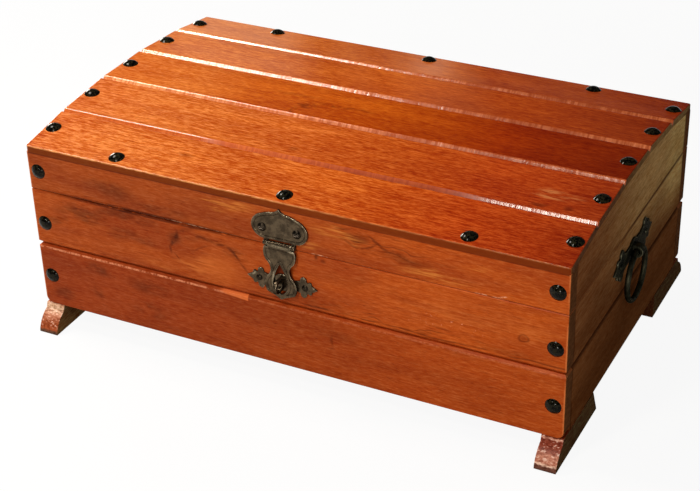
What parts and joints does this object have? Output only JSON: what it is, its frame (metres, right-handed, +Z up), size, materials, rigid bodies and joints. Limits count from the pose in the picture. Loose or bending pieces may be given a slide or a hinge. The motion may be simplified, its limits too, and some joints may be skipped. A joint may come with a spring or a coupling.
{
  "type": "sea chest",
  "caption": "Small wooden sea chest with a low arched slatted lid, a swinging hasp and staple, ring handles on the ends, domed nails and bracket feet.",
  "frame": {"origin": "on the floor under the middle of the chest: halfway along it and halfway between its front and rear feet", "axes": "+X along the length to the chest's right end, the front with the hasp faces -Y, +Z up"},
  "size_m": [0.4174, 0.27, 0.1602],
  "materials": {
    "case_wood": "stained and varnished",
    "lid_wood": "stained, gloss varnish",
    "foot_wood": "stained, gloss varnish",
    "inner_wood": "plain, unfinished",
    "black_nail": "gloss black",
    "antique_bronze": "antique, brown patina",
    "steel_screw": "dull zinc"
  },
  "bodies": {
    "chest": {"front_lower_board": "case_wood", "front_upper_board": "case_wood", "back_lower_board": "case_wood", "back_upper_board": "case_wood", "left_lower_board": "case_wood", "left_upper_board": "case_wood", "right_lower_board": "case_wood", "right_upper_board": "case_wood", "bottom_panel": "inner_wood", "corner_post_front_left": "inner_wood", "corner_post_front_right": "inner_wood", "corner_post_back_left": "inner_wood", "corner_post_back_right": "inner_wood", "front_foot_left": "foot_wood", "front_foot_right": "foot_wood", "rear_foot_left": "foot_wood", "rear_foot_right": "foot_wood", "foot_screws": "steel_screw", "case_front_nails": "black_nail", "case_back_nails": "black_nail", "case_hinge_screws": "steel_screw", "staple_plate": "antique_bronze", "staple_eye": "antique_bronze", "staple_pins": "antique_bronze", "left_handle_plate": "antique_bronze", "left_handle_lug": "antique_bronze", "left_handle_pins": "antique_bronze", "right_handle_plate": "antique_bronze", "right_handle_lug": "antique_bronze", "right_handle_pins": "antique_bronze", "left_hinge_case_leaf": "antique_bronze", "left_hinge_pin": "antique_bronze", "right_hinge_case_leaf": "antique_bronze", "right_hinge_pin": "antique_bronze"},
    "lid": {"lid_front_rail": "case_wood", "lid_back_rail": "case_wood", "lid_left_end": "case_wood", "lid_right_end": "case_wood", "lid_middle_rib": "inner_wood", "lid_slat_1": "lid_wood", "lid_slat_2": "lid_wood", "lid_slat_3": "lid_wood", "lid_slat_4": "lid_wood", "lid_slat_5": "lid_wood", "lid_front_nails": "black_nail", "lid_back_nails": "black_nail", "lid_end_nails": "black_nail", "lid_edge_nails": "black_nail", "lid_hinge_screws": "steel_screw", "left_hinge_lid_leaf": "antique_bronze", "right_hinge_lid_leaf": "antique_bronze", "hasp_plate": "antique_bronze", "hasp_screws": "antique_bronze", "hasp_pin": "antique_bronze"},
    "hasp": {"hasp_strap": "antique_bronze"},
    "left_ring": {"left_ring": "antique_bronze"},
    "right_ring": {"right_ring": "antique_bronze"}
  },
  "joints": [
    {"name": "lid_hinge", "type": "hinge", "parent": "chest", "child": "lid", "pos_m": [0, 0.1255, 0.1132], "axis": [-1, 0, 0], "range_deg": [0, 175]},
    {"name": "hasp_hinge", "type": "hinge", "parent": "lid", "child": "hasp", "pos_m": [0, -0.1246, 0.116], "axis": [-1, 0, 0], "range_deg": [0, 150]},
    {"name": "left_ring_pivot", "type": "hinge", "parent": "chest", "child": "left_ring", "pos_m": [-0.2042, 0, 0.094], "axis": [0, 1, 0], "range_deg": [0, 175]},
    {"name": "right_ring_pivot", "type": "hinge", "parent": "chest", "child": "right_ring", "pos_m": [0.2042, 0, 0.094], "axis": [0, -1, 0], "range_deg": [0, 175]}
  ]
}
